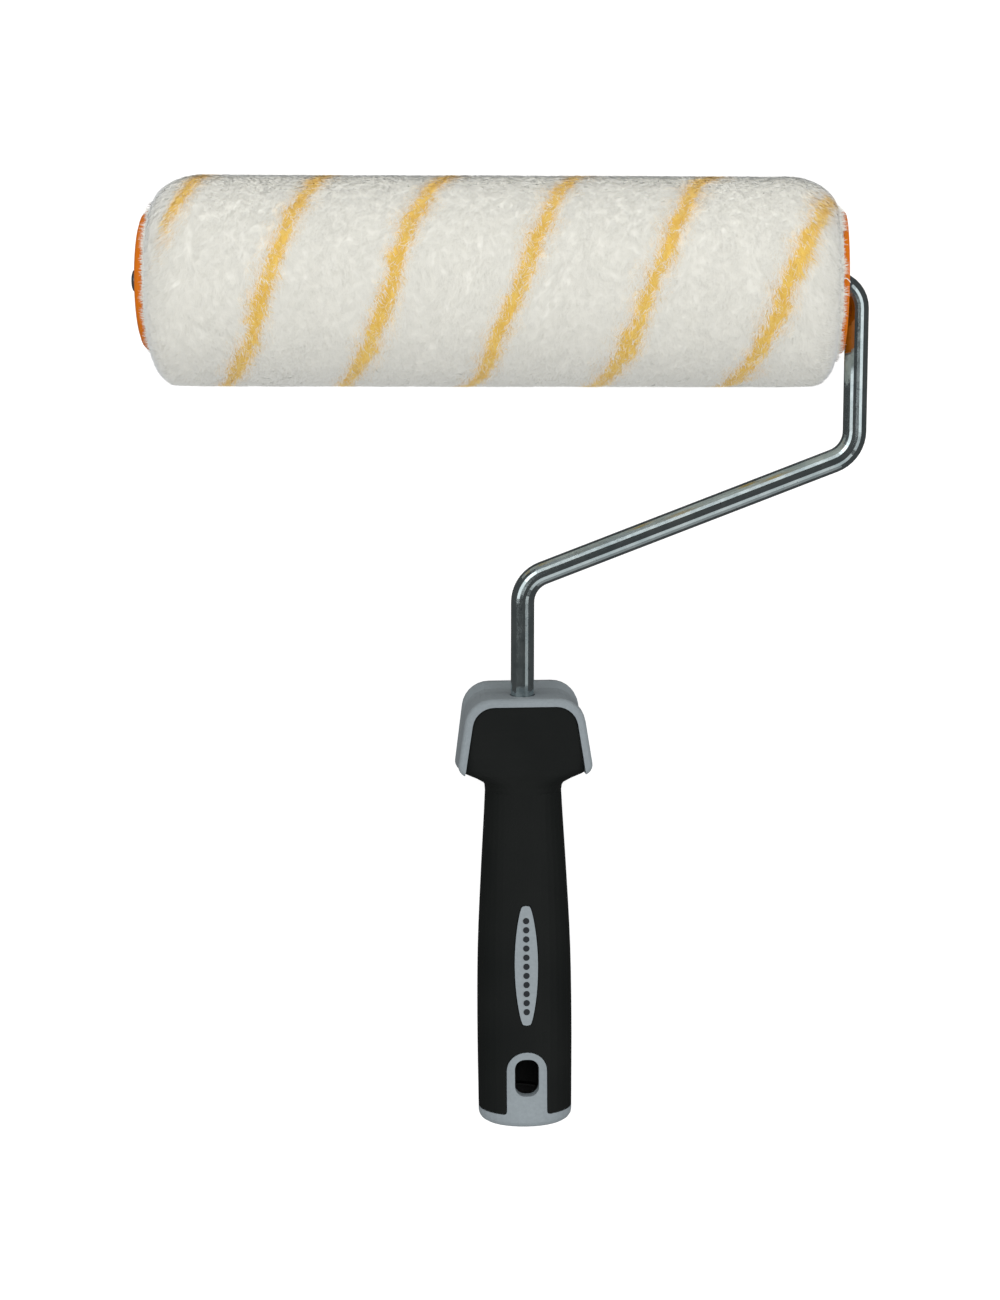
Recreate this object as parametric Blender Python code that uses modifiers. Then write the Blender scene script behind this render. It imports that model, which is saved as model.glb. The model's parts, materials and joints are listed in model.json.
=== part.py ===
"""Paint roller: striped plush cover on a bent wire frame with a T-headed two-colour handle.

The tool lies on a surface: +Z is up, the roller's axis runs along X, and the handle points to -Y.
It rests on the pile and on the rear of the butt, so the plane of the bent rod slopes slightly.
The origin is on the surface, under the centre of the bounding box.
"""

import math

import bmesh
import bpy
from mathutils import Vector

MM = 0.001
GAP = 0.3 * MM                      # clearance between pieces that touch
OVERCUT = 5 * MM                    # how far a cutter runs past what it cuts
PAST_SIDES = 30 * MM                # a half width beyond the handle's widest place

# Roller cover
CORE_HALF_LENGTH = 115.0 * MM
CORE_RADIUS = 23.9 * MM
CORE_WALL = 1.6 * MM
PILE_RADIUS = 35.5 * MM
PILE_HALF_LENGTH = 115.6 * MM
PILE_EDGE_LENGTH = 18.0 * MM        # how far the rounding of the pile's ends runs along it
PILE_EDGE_DROP = 11.0 * MM          # and how far it drops
CAP_RADIUS = 23.7 * MM
OUTER_CAP_FACE = 118.8 * MM         # outer faces of the caps, from the roller's centre
INNER_CAP_FACE = 117.3 * MM
CAP_SKIRT_RADIUS = CORE_RADIUS - CORE_WALL - GAP
CAP_WALL = 1.7 * MM
HUB_RADIUS = 8.6 * MM
HUB_BORE_RADIUS = 6.4 * MM
HUB_LENGTH = 13.0 * MM
CAP_WEB_INSET = 0.2 * MM            # from the tube's end to the inner side of a cap's web
CAP_SKIRT_SHORT = 4.0 * MM          # how much sooner a cap's skirt ends than its hub
OUTER_CAP_EDGE = (                  # rounding of the outer cap: in from its rim, back from its face
    (3.2 * MM, 0.2 * MM),
    (1.4 * MM, 0.8 * MM),
    (0.4 * MM, 1.7 * MM),
    (0.0, 2.7 * MM),
)
RECESS_EDGE = ((0.3 * MM, 0.5 * MM), (1.2 * MM, 0.0))   # out from the recess, back from the face
INNER_CAP_EDGE = 0.5 * MM
OUTER_FLOOR = 114.2 * MM            # floor of the outer cap's recess
OUTER_RECESS_RADIUS = 11.0 * MM
INNER_FLOOR = 107.0 * MM            # floor of the inner cap's dish, deep enough for the rod's bend
INNER_FLOOR_RADIUS = 12.6 * MM
INNER_MOUTH_RADIUS = 14.8 * MM

# Bearings on the axle
RUNNING_RADIUS = 4.12 * MM          # bores that turn on the rod
BUSH_FLANGE_RADIUS = 7.6 * MM
BUSH_FLANGE = 1.0 * MM
WASHER_RADIUS = 7.2 * MM
WASHER_THICKNESS = 0.8 * MM
COLLAR_RADIUS = 5.8 * MM
COLLAR_LENGTH = 2.8 * MM
RING_RADIUS = 7.0 * MM
RING_THICKNESS = 0.7 * MM
RING_MOUTH = math.radians(70)
GROOVE_RADIUS = 3.2 * MM
GROOVE_WIDTH = 1.2 * MM
GROOVE_EDGE = 0.02 * MM             # length over which the groove's sides rise

# Bent rod, in its own plane: x along the axle, y from the handle towards the roller
ROD_RADIUS = 4.0 * MM
ROD_TIP_X = -122.4 * MM
ROD_TIP = ((0.0, 0.62), (0.3 * MM, 0.84), (1.0 * MM, 1.0))   # in from the tip, share of the radius
AXLE_START_X = -100 * MM            # where the plain axle begins, inwards of the groove
SIDE_X = 121.95 * MM                # the side run beside the inner cap
SIDE_END_Y = -57.15 * MM
STEM_X = 9.93 * MM
STEM_START_Y = -101.4 * MM
AXLE_BEND = 8.6 * MM
LOWER_BEND = 10.8 * MM
TANG_LENGTH = 52.0 * MM             # length of rod inside the handle

# Handle: its own Y runs along it from the top of the head (0) to the butt, Z is its front
HEAD_TOP_Y = -138.3 * MM
HANDLE_LEAN = math.radians(0.54)    # the handle's axis leans from the stem's
HANDLE_TWIST = math.radians(4.75)   # the handle is turned a little about its axis
HANDLE_LENGTH = 152.8 * MM
RING_HEIGHT = 4.7 * MM              # grey ring at the butt
BUTT_FILLET = 3.3 * MM
SKIN = 2.2 * MM                     # thickness of the soft grip over the core
HEAD_HALF_DEPTH = 17.6 * MM
HEAD_BOTTOM = -27.8 * MM
HEAD_REAR_DROP = 4.2 * MM           # how much lower the head's rear rim ends
HEAD_FRONT_DROP = 1.5 * MM          # how much lower its front rim begins
HEAD_CORNERS = ((23.4 * MM, HEAD_BOTTOM, 3.6 * MM), (19.2 * MM, 0.0, 9.5 * MM))
HEAD_EDGES = (                      # share of the half depth, inset, share of the waist's dip
    (1.0, 1.0 * MM, 0.0),
    (0.975, 0.4 * MM, 0.0),
    (0.93, 0.0, 0.0),
    (0.78, 0.0, 0.0),
    (0.68, 0.0, 0.35),
    (0.55, 0.0, 0.75),
    (0.35, 0.0, 0.95),
)
PANEL_TOP = -4.05 * MM
PANEL_CORNERS = ((21.74 * MM, -35.0 * MM, 0.0), (16.9 * MM, PANEL_TOP, 7.5 * MM))
SHELF_DROP = 0.8 * MM               # the black panels end this far below the head band
WEB_HALF_DEPTH = 12.6 * MM          # grey web between the front and rear head panels
WEB_BOTTOM = -24.6 * MM
UNDER_INSET = 0.05 * MM             # how much narrower the room under the web is than the panels
CORE_TOP = -20.0 * MM               # top of the core's round body, inside the head
WAIST_TOP = 2.4 * MM                # how deep the head band dips between its two rims,
WAIST_SIDE = 0.15 * MM              # at the top and at the sides
SOCKET_BORE_RADIUS = 10.2 * MM
SOCKET_DEPTH = 52.0 * MM
SOCKET_WALL = 1.2 * MM
TONGUE_TOP = -125.5 * MM
TONGUE_HALF_WIDTH = 6.95 * MM
TONGUE_FLARE = 1.1 * MM             # radius where the tongue meets the butt ring
SLOT_CENTRE_Y = -134.6 * MM
SLOT_HALF_WIDTH = 4.2 * MM
SLOT_HALF_LENGTH = 6.6 * MM
SLOT_CORNER = 3.5 * MM
BADGE_CENTRE_Y = -94.8 * MM
BADGE_HALF_LENGTH = 21.0 * MM
BADGE_HALF_WIDTH = 4.0 * MM
BADGE_END_HALF_WIDTH = 2.3 * MM
BADGE_THICKNESS = 1.1 * MM
BADGE_PROUD = 0.15 * MM             # how far the badge stands above the grip
BADGE_ROOM = 3.0 * MM               # how far its pocket runs past the grip's surface
BADGE_POINTS = 40
SOCKET_SETBACK = 1.0 * MM           # the sleeve's ends lie this far inside its bore's ends
SOCKET_CHAMFER = 0.6 * MM
FRONT_FROM = 2 * MM                 # cutters and prisms at the front of the handle start at
TONGUE_FROM = 8 * MM                # these depths in front of its axis
TONGUE_ROOM_FROM = 4 * MM
BADGE_FROM = 6 * MM

NECK_Y = -35.4 * MM

# Grip sections: distance along the handle, half width, half depth, squareness
GRIP_SECTIONS = (
    (NECK_Y, 13.2 * MM, 12.1 * MM, 2.2),
    (-61.4 * MM, 14.7 * MM, 12.9 * MM, 2.1),
    (-89.4 * MM, 16.1 * MM, 13.9 * MM, 2.05),
    (-116.4 * MM, 16.5 * MM, 14.2 * MM, 2.0),
    (-HANDLE_LENGTH, 16.3 * MM, 14.2 * MM, 2.0),
)
# Head sections of the soft grip, above the neck
HEAD_SECTIONS = (
    (PANEL_TOP - GAP, 24.0 * MM, 16.9 * MM, 8.0),
    (-14.0 * MM, 24.0 * MM, 17.2 * MM, 8.0),
    (-22.0 * MM, 24.0 * MM, 16.9 * MM, 7.0),
    (-26.2 * MM, 22.8 * MM, 16.0 * MM, 6.0),
    (-28.1 * MM, 20.7 * MM, 15.2 * MM, 5.0),
    (-30.0 * MM, 16.9 * MM, 14.2 * MM, 4.0),
    (-31.8 * MM, 14.2 * MM, 13.3 * MM, 3.2),
    (-33.2 * MM, 13.4 * MM, 12.6 * MM, 2.8),
)
SECTION_POINTS = 36
TURNED_STEPS = 40

# Where the tool touches the surface it lies on
CONTACT_Y = HEAD_TOP_Y - HANDLE_LENGTH + BUTT_FILLET
CONTACT_DEPTH = 14.22 * MM
SLOPE = (math.asin(PILE_RADIUS / math.hypot(CONTACT_Y, CONTACT_DEPTH))
         - math.atan2(CONTACT_DEPTH, -CONTACT_Y))


# ---------------------------------------------------------------- scene helpers

def new_collection(name):
    collection = bpy.data.collections.new(name)
    bpy.context.scene.collection.children.link(collection)
    return collection


def material(name, color, roughness, metallic=0.0):
    made = bpy.data.materials.new(name)
    made.use_nodes = True
    shader = made.node_tree.nodes["Principled BSDF"]
    shader.inputs["Base Color"].default_value = (*color, 1.0)
    shader.inputs["Roughness"].default_value = roughness
    shader.inputs["Metallic"].default_value = metallic
    return made


def empty(name, parent=None, location=(0, 0, 0), rotation=(0, 0, 0)):
    made = bpy.data.objects.new(name, None)
    parts.objects.link(made)
    made.parent = parent
    made.location = location
    made.rotation_euler = rotation
    made.empty_display_size = 20 * MM
    return made


def new_object(name, data, collection, parent):
    made = bpy.data.objects.new(name, data)
    collection.objects.link(made)
    made.parent = parent
    return made


def guide(name, data, parent):
    """An object that only cuts or joins others."""
    made = new_object(name, data, cutters, parent)
    made.hide_render = True
    made.display_type = "WIRE"
    return made


def smooth(piece, angle=35):
    piece.data.shade_smooth()
    piece.data.set_sharp_from_angle(angle=math.radians(angle))


def boolean(piece, other, operation):
    modifier = piece.modifiers.new(other.name, "BOOLEAN")
    modifier.operation = operation
    modifier.solver = "EXACT"
    modifier.object = other


# ---------------------------------------------------------------- shape helpers

def turned_mesh(name, profile):
    """A closed profile of (radius, height) points, its outer side running downwards."""
    made = bpy.data.meshes.new(name)
    edges = [(i, (i + 1) % len(profile)) for i in range(len(profile))]
    made.from_pydata([(radius, 0, height) for radius, height in profile], edges, [])
    return made


def add_screw(piece, steps):
    screw = piece.modifiers.new("turn", "SCREW")
    screw.steps = steps
    screw.render_steps = steps
    screw.use_merge_vertices = True
    screw.merge_threshold = 0.00001
    screw.use_smooth_shade = False


def turned(name, profile, look, parent, facing=1, steps=TURNED_STEPS):
    """A turned piece on the roller's axis; facing -1 turns its heights towards -X."""
    piece = new_object(name, turned_mesh(name, profile), parts, parent)
    piece.rotation_euler = (0, facing * math.pi / 2, 0)
    add_screw(piece, steps)
    piece.data.materials.append(look)
    return piece


def loft_mesh(name, rings):
    """A closed solid through rings of equal point count, with flat ends."""
    made = bmesh.new()
    levels = [[made.verts.new(point) for point in ring] for ring in rings]
    count = len(rings[0])
    for low, high in zip(levels, levels[1:]):
        for i in range(count):
            made.faces.new((low[i], low[(i + 1) % count], high[(i + 1) % count], high[i]))
    made.faces.new(levels[0])
    made.faces.new(levels[-1])
    bmesh.ops.recalc_face_normals(made, faces=made.faces)
    mesh = bpy.data.meshes.new(name)
    made.to_mesh(mesh)
    made.free()
    return mesh


def rounded_outline(corners, inset=0.0, steps=7):
    """A convex outline, its corners (x, y, radius) counterclockwise, moved in by inset."""
    points = []
    count = len(corners)
    sides = []
    for i in range(count):
        start = Vector(corners[i][:2])
        run = (Vector(corners[(i + 1) % count][:2]) - start).normalized()
        sides.append((start + Vector((-run.y, run.x)) * inset, run))
    for i in range(count):
        (before, run_in), (after, run_out) = sides[i - 1], sides[i]
        turn = run_in.x * run_out.y - run_in.y * run_out.x
        reach = ((after - before).x * run_out.y - (after - before).y * run_out.x) / turn
        corner = before + run_in * reach
        radius = max(corners[i][2] - inset, 0.0)
        half = math.acos(max(-1.0, min(1.0, run_in.dot(run_out)))) / 2
        if radius == 0.0:
            points.append(corner)
            continue
        centre = corner - run_in * radius * math.tan(half) + Vector((-run_in.y, run_in.x)) * radius
        start_angle = math.atan2(-run_in.x, run_in.y)
        for step in range(steps + 1):
            angle = start_angle + 2 * half * step / steps
            points.append(centre + Vector((math.cos(angle), math.sin(angle))) * radius)
    return points


def mirrored_corners(right_side):
    """Counterclockwise corners of a symmetric outline from its right side, bottom first."""
    left_side = [(-x, y, radius) for x, y, radius in reversed(right_side)]
    return list(right_side) + left_side


def prism_mesh(name, outline, low, high):
    """A flat outline in X and Y carried from z = low to z = high."""
    return loft_mesh(name, [[(x, y, z) for x, y in outline] for z in (low, high)])


def blend_value(keys, at):
    """A smooth curve through (position, value) keys with falling positions."""
    for i in range(len(keys) - 1):
        if at >= keys[i + 1][0] or i == len(keys) - 2:
            break
    (p0, v0), (p1, v1) = keys[i], keys[i + 1]

    def slope(k):
        if k == 0 or k == len(keys) - 1:
            return 0.0
        return (keys[k + 1][1] - keys[k - 1][1]) / (keys[k + 1][0] - keys[k - 1][0])

    span = p1 - p0
    t = max(0.0, min(1.0, (at - p0) / span))
    rise_0, rise_1 = slope(i) * span, slope(i + 1) * span
    return ((2 * t**3 - 3 * t**2 + 1) * v0 + (t**3 - 2 * t**2 + t) * rise_0
            + (3 * t**2 - 2 * t**3) * v1 + (t**3 - t**2) * rise_1)


def section(sections, y, grow=0.0, points=SECTION_POINTS):
    """One ring round the handle: a rounded section between an ellipse and a rectangle."""
    width, depth, square = (blend_value([(s[0], s[k]) for s in sections], y) for k in (1, 2, 3))
    ring = []
    for i in range(points):
        angle = 2 * math.pi * i / points
        cos, sin = math.cos(angle), math.sin(angle)
        x = math.copysign(abs(cos) ** (2 / square), cos) * (width + grow)
        z = math.copysign(abs(sin) ** (2 / square), sin) * (depth + grow)
        ring.append((x, y, z))
    return ring


def spaced(start, end, count):
    return [start + (end - start) * i / count for i in range(count + 1)]


def arc_path(corners, steps=9):
    """Points along a path of (x, y, bend radius) corners, with round bends."""
    path = [Vector(corners[0][:2])]
    for before, corner, after in zip(corners, corners[1:], corners[2:]):
        here = Vector(corner[:2])
        run_in = (here - Vector(before[:2])).normalized()
        run_out = (Vector(after[:2]) - here).normalized()
        turn = run_in.angle_signed(run_out)
        side = Vector((run_in.y, -run_in.x)) * math.copysign(1, turn)
        centre = here - run_in * corner[2] * math.tan(abs(turn) / 2) + side * corner[2]
        for step in range(steps + 1):
            swing = abs(turn) * step / steps
            path.append(centre - side * corner[2] * math.cos(swing)
                        + run_in * corner[2] * math.sin(swing))
    path.append(Vector(corners[-1][:2]))
    return path


# ---------------------------------------------------------------- roller cover

def make_pile_cover(parent, look):
    inner = CORE_RADIUS + GAP
    outer = []
    for angle in spaced(0, math.pi / 2, 6):
        outer.append((PILE_RADIUS - PILE_EDGE_DROP * (1 - math.sin(angle)),
                      PILE_HALF_LENGTH - PILE_EDGE_LENGTH * (1 - math.cos(angle))))
    lower = [(radius, -height) for radius, height in reversed(outer)]
    profile = [(inner, PILE_HALF_LENGTH)] + outer + lower + [(inner, -PILE_HALF_LENGTH)]
    piece = turned("pile_cover", profile, look, parent, steps=56)
    smooth(piece)


def make_core_tube(parent, look):
    inner = CORE_RADIUS - CORE_WALL
    end = CORE_HALF_LENGTH
    profile = [(inner, end), (CORE_RADIUS, end), (CORE_RADIUS, -end), (inner, -end)]
    turned("core_tube", profile, look, parent)


def cap_inside(floor, floor_radius, mouth_radius):
    """The side of a cap that faces the tube: skirt, web, dish wall and hub, up to the dish floor."""
    web = CORE_HALF_LENGTH - CAP_WEB_INSET
    skirt_end = floor - HUB_LENGTH + CAP_SKIRT_SHORT
    skirt_inner = CAP_SKIRT_RADIUS - CAP_WALL
    return [
        (CAP_RADIUS, CORE_HALF_LENGTH + GAP),
        (CAP_SKIRT_RADIUS, CORE_HALF_LENGTH + GAP),
        (CAP_SKIRT_RADIUS, skirt_end),
        (skirt_inner, skirt_end),
        (skirt_inner, web),
        (mouth_radius + CAP_WALL, web),
        (floor_radius + CAP_WALL, floor - CAP_WALL),
        (HUB_RADIUS, floor - CAP_WALL),
        (HUB_RADIUS, floor - HUB_LENGTH),
        (HUB_BORE_RADIUS, floor - HUB_LENGTH),
        (HUB_BORE_RADIUS, floor),
        (floor_radius, floor),
    ]


def make_outer_end_cap(parent, look):
    face = [(OUTER_RECESS_RADIUS + out, OUTER_CAP_FACE - back) for out, back in RECESS_EDGE]
    face += [(CAP_RADIUS - inward, OUTER_CAP_FACE - back) for inward, back in OUTER_CAP_EDGE]
    floor = cap_inside(OUTER_FLOOR, OUTER_RECESS_RADIUS, OUTER_RECESS_RADIUS)
    piece = turned("outer_end_cap", face + floor, look, parent, facing=-1)
    smooth(piece)


def make_inner_end_cap(parent, look):
    face = [
        (INNER_MOUTH_RADIUS, INNER_CAP_FACE),
        (CAP_RADIUS - INNER_CAP_EDGE, INNER_CAP_FACE),
        (CAP_RADIUS, INNER_CAP_FACE - INNER_CAP_EDGE),
    ]
    floor = cap_inside(INNER_FLOOR, INNER_FLOOR_RADIUS, INNER_MOUTH_RADIUS)
    piece = turned("inner_end_cap", face + floor, look, parent, facing=1)
    smooth(piece)


def make_bush(name, floor, facing, parent, look):
    seat = floor + GAP
    sleeve = HUB_BORE_RADIUS - GAP
    profile = [
        (RUNNING_RADIUS, seat + BUSH_FLANGE),
        (BUSH_FLANGE_RADIUS, seat + BUSH_FLANGE),
        (BUSH_FLANGE_RADIUS, seat),
        (sleeve, seat),
        (sleeve, floor - HUB_LENGTH),
        (RUNNING_RADIUS, floor - HUB_LENGTH),
    ]
    turned(name, profile, look, parent, facing)


def make_disc(name, radius, bore, start, thickness, facing, parent, look):
    profile = [(bore, start + thickness), (radius, start + thickness), (radius, start), (bore, start)]
    turned(name, profile, look, parent, facing, steps=32)


def washer_start(floor):
    return floor + GAP + BUSH_FLANGE + GAP


# ---------------------------------------------------------------- frame

def ring_start():
    return washer_start(OUTER_FLOOR) + WASHER_THICKNESS + GAP


def make_retaining_ring(parent, look):
    """An open ring that snaps into the rod's groove."""
    bore = GROOVE_RADIUS + GAP
    angles = spaced(RING_MOUTH / 2, 2 * math.pi - RING_MOUTH / 2, 20)
    outline = [(RING_RADIUS, angle) for angle in angles] + [(bore, angle) for angle in reversed(angles)]
    curve = bpy.data.curves.new("retaining_ring", "CURVE")
    curve.dimensions = "2D"
    curve.fill_mode = "BOTH"
    curve.extrude = RING_THICKNESS / 2
    spline = curve.splines.new("POLY")
    spline.points.add(len(outline) - 1)
    spline.use_cyclic_u = True
    for point, (radius, angle) in zip(spline.points, outline):
        point.co = (radius * math.cos(angle), radius * math.sin(angle), 0, 1)
    piece = new_object("retaining_ring", curve, parts, parent)
    piece.rotation_euler = (0, -math.pi / 2, 0)
    piece.location = (-(ring_start() + RING_THICKNESS / 2), 0, 0)
    curve.materials.append(look)


def make_frame_rod(parent, look):
    """One wire: rounded tip, ring groove, axle, three bends, stem and tang."""
    groove = ring_start() + RING_THICKNESS / 2
    left, right = -groove - GROOVE_WIDTH / 2, -groove + GROOVE_WIDTH / 2
    waist = GROOVE_RADIUS / ROD_RADIUS
    ends = [(ROD_TIP_X + inward, factor) for inward, factor in ROD_TIP]
    ends += [(left - GROOVE_EDGE, 1), (left, waist), (right, waist), (right + GROOVE_EDGE, 1)]
    corners = [
        (AXLE_START_X, 0, 0),
        (SIDE_X, 0, AXLE_BEND),
        (SIDE_X, SIDE_END_Y, LOWER_BEND),
        (STEM_X, STEM_START_Y, LOWER_BEND),
        (STEM_X, HEAD_TOP_Y - TANG_LENGTH, 0),
    ]
    points = [(x, 0, factor) for x, factor in ends]
    points += [(point.x, point.y, 1) for point in arc_path(corners)]
    curve = bpy.data.curves.new("frame_rod", "CURVE")
    curve.dimensions = "3D"
    curve.bevel_depth = ROD_RADIUS
    curve.bevel_resolution = 10
    curve.use_fill_caps = True
    spline = curve.splines.new("POLY")
    spline.points.add(len(points) - 1)
    for point, (x, y, factor) in zip(spline.points, points):
        point.co = (x, y, 0, 1)
        point.radius = factor
    new_object("frame_rod", curve, parts, parent)
    curve.materials.append(look)


# ---------------------------------------------------------------- handle

def grip_loft(grow, start, end, count, points=SECTION_POINTS):
    return [section(GRIP_SECTIONS, y, grow, points) for y in spaced(start, end, count)]


def butt_rings(grow):
    """The grey ring at the butt, with its filleted edge."""
    end = -HANDLE_LENGTH
    rings = [section(GRIP_SECTIONS, end + RING_HEIGHT, grow)]
    for angle in spaced(0, math.pi / 2, 4):
        inward = BUTT_FILLET * (1 - math.cos(angle))
        rings.append(section(GRIP_SECTIONS, end + BUTT_FILLET * (1 - math.sin(angle)), grow - inward))
    return rings


def grip_core(name, grow, parent, with_ring):
    """The part of the core under the soft grip; with_ring adds the butt ring."""
    ring_top = -HANDLE_LENGTH + RING_HEIGHT
    rings = [section(GRIP_SECTIONS, y, grow - SKIN) for y in spaced(CORE_TOP, ring_top, 10)]
    if with_ring:
        rings += butt_rings(grow)
    else:
        rings.append(section(GRIP_SECTIONS, ring_top - OVERCUT, grow - SKIN))
    return guide(name, loft_mesh(name, rings), parent)


def tongue_outline(grow):
    """An arch that flares where it meets the butt ring."""
    half = TONGUE_HALF_WIDTH + grow
    flare = TONGUE_FLARE - grow
    ring_top = -HANDLE_LENGTH + RING_HEIGHT + grow
    right = [(half + flare, ring_top - RING_HEIGHT / 2)]
    for angle in spaced(0, math.pi / 2, 3):
        right.append((half + flare * (1 - math.sin(angle)), ring_top + flare * (1 - math.cos(angle))))
    arch_centre = TONGUE_TOP - TONGUE_HALF_WIDTH
    for angle in spaced(0, math.pi / 2, 8):
        right.append((half * math.cos(angle), arch_centre + half * math.sin(angle)))
    left = [(-x, y) for x, y in reversed(right[:-1])]
    return right + left


def slot_outline():
    corners = [(SLOT_HALF_WIDTH, SLOT_CENTRE_Y - SLOT_HALF_LENGTH, SLOT_CORNER),
               (SLOT_HALF_WIDTH, SLOT_CENTRE_Y + SLOT_HALF_LENGTH, SLOT_CORNER)]
    return rounded_outline(mirrored_corners(corners), steps=6)


def badge_outline(grow):
    """A long oval, widest in the middle, with round ends."""
    half_length = BADGE_HALF_LENGTH + grow
    points = []
    for angle in spaced(0, 2 * math.pi, BADGE_POINTS)[:-1]:
        along = math.copysign(abs(math.sin(angle)) ** 0.9, math.sin(angle))
        width = BADGE_END_HALF_WIDTH + (BADGE_HALF_WIDTH - BADGE_END_HALF_WIDTH) * (1 - along**2)
        across = math.copysign(abs(math.cos(angle)) ** 0.35, math.cos(angle))
        points.append((across * (width + grow), BADGE_CENTRE_Y + along * half_length))
    return points


def panel_side(y):
    """Half width of the head panels' pocket at height y, below its rounded corners."""
    (low_x, low_y, _), (top_x, top_y, _) = PANEL_CORNERS
    return top_x + (low_x - top_x) * (y - top_y) / (low_y - top_y)


def head_block(parent, look):
    """The head: an arched outline carried front to back, waisted between two rims."""
    front = [(share * HEAD_HALF_DEPTH, inset, dip) for share, inset, dip in HEAD_EDGES]
    rear = [(-depth, inset, dip) for depth, inset, dip in reversed(front)]
    rings = []
    for depth, inset, dip in front + [(0.0, 0.0, 1.0)] + rear:
        (low_x, low_y, low_radius), (top_x, top_y, top_radius) = HEAD_CORNERS
        side = dip * WAIST_SIDE
        low = low_y - HEAD_REAR_DROP * (1 - depth / HEAD_HALF_DEPTH) / 2
        top = top_y - dip * WAIST_TOP - HEAD_FRONT_DROP * max(depth, 0.0) / HEAD_HALF_DEPTH
        corners = ((low_x - side, low, low_radius), (top_x - side, top, top_radius))
        outline = rounded_outline(mirrored_corners(corners), inset)
        rings.append([(x, y, depth) for x, y in outline])
    piece = new_object("handle_core", loft_mesh("handle_core", rings), parts, parent)
    piece.data.materials.append(look)
    return piece


def make_handle_core(parent, look):
    piece = head_block(parent, look)
    panel = rounded_outline(mirrored_corners(PANEL_CORNERS))
    far = HEAD_HALF_DEPTH + OVERCUT
    front = guide("front_pocket", prism_mesh("front_pocket", panel, WEB_HALF_DEPTH, far), parent)
    rear = guide("rear_pocket", prism_mesh("rear_pocket", panel, -far, -WEB_HALF_DEPTH), parent)
    low_panel = mirrored_corners((PANEL_CORNERS[0], (panel_side(WEB_BOTTOM), WEB_BOTTOM, 0)))
    low_outline = rounded_outline(low_panel, UNDER_INSET)
    under = guide("under_pocket", prism_mesh("under_pocket", low_outline, -far, far), parent)
    for pocket in (front, rear, under):
        boolean(piece, pocket, "DIFFERENCE")
    boolean(piece, grip_core("core_body", 0, parent, True), "UNION")
    boolean(piece, make_tongue(parent), "UNION")
    boolean(piece, socket_bore(parent), "DIFFERENCE")
    boolean(piece, slot_cutter(parent), "DIFFERENCE")
    boolean(piece, rod_hole(parent), "DIFFERENCE")
    smooth(piece, 30)


def make_tongue(parent):
    """The grey tongue round the hang hole: the grip's own surface inside an arched outline."""
    mesh = prism_mesh("tongue", tongue_outline(0), TONGUE_FROM, PAST_SIDES)
    tongue = guide("tongue", mesh, parent)
    below_ring_top = -HANDLE_LENGTH + RING_HEIGHT - MM
    rings = grip_loft(0, TONGUE_TOP + OVERCUT, below_ring_top, 4)
    envelope = guide("tongue_envelope", loft_mesh("tongue_envelope", rings), parent)
    boolean(tongue, envelope, "INTERSECT")
    return tongue


def cylinder_along_handle(name, radius, low, high, parent, sides=32):
    made = bmesh.new()
    bmesh.ops.create_cone(made, cap_ends=True, segments=sides, radius1=radius, radius2=radius,
                          depth=high - low)
    mesh = bpy.data.meshes.new(name)
    made.to_mesh(mesh)
    made.free()
    piece = guide(name, mesh, parent)
    piece.rotation_euler = (math.pi / 2, 0, 0)
    piece.location = (0, (low + high) / 2, 0)
    return piece


def socket_bore(parent):
    low = -HANDLE_LENGTH - OVERCUT
    return cylinder_along_handle("socket_bore", SOCKET_BORE_RADIUS, low,
                                 -HANDLE_LENGTH + SOCKET_DEPTH, parent, 40)


def slot_cutter(parent):
    mesh = prism_mesh("slot", slot_outline(), FRONT_FROM, PAST_SIDES)
    return guide("slot", mesh, parent)


def rod_hole(parent):
    """The tang's hole follows the stem, so it doesn't lean or twist with the handle."""
    tool = parent.parent
    low = HEAD_TOP_Y - TANG_LENGTH - 2 * GAP
    hole = cylinder_along_handle("rod_hole", ROD_RADIUS + GAP, low, HEAD_TOP_Y + OVERCUT, tool, 28)
    hole.location.x = STEM_X
    return hole


def soft_grip_outline():
    """Seen from the front: the head panel inside the grey rim, then open below it."""
    shelf = HEAD_BOTTOM - SHELF_DROP
    corners = [(panel_side(shelf), shelf, 0), PANEL_CORNERS[1]]
    panel = rounded_outline(mirrored_corners(corners), GAP)
    low = -HANDLE_LENGTH - OVERCUT
    right = [point for point in panel if point[0] > 0]
    left = [(-x, y) for x, y in reversed(right)]
    open_right = [(-PAST_SIDES, low), (PAST_SIDES, low), (PAST_SIDES, right[0][1])]
    return open_right + right + left + [(-PAST_SIDES, right[0][1])]


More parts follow.
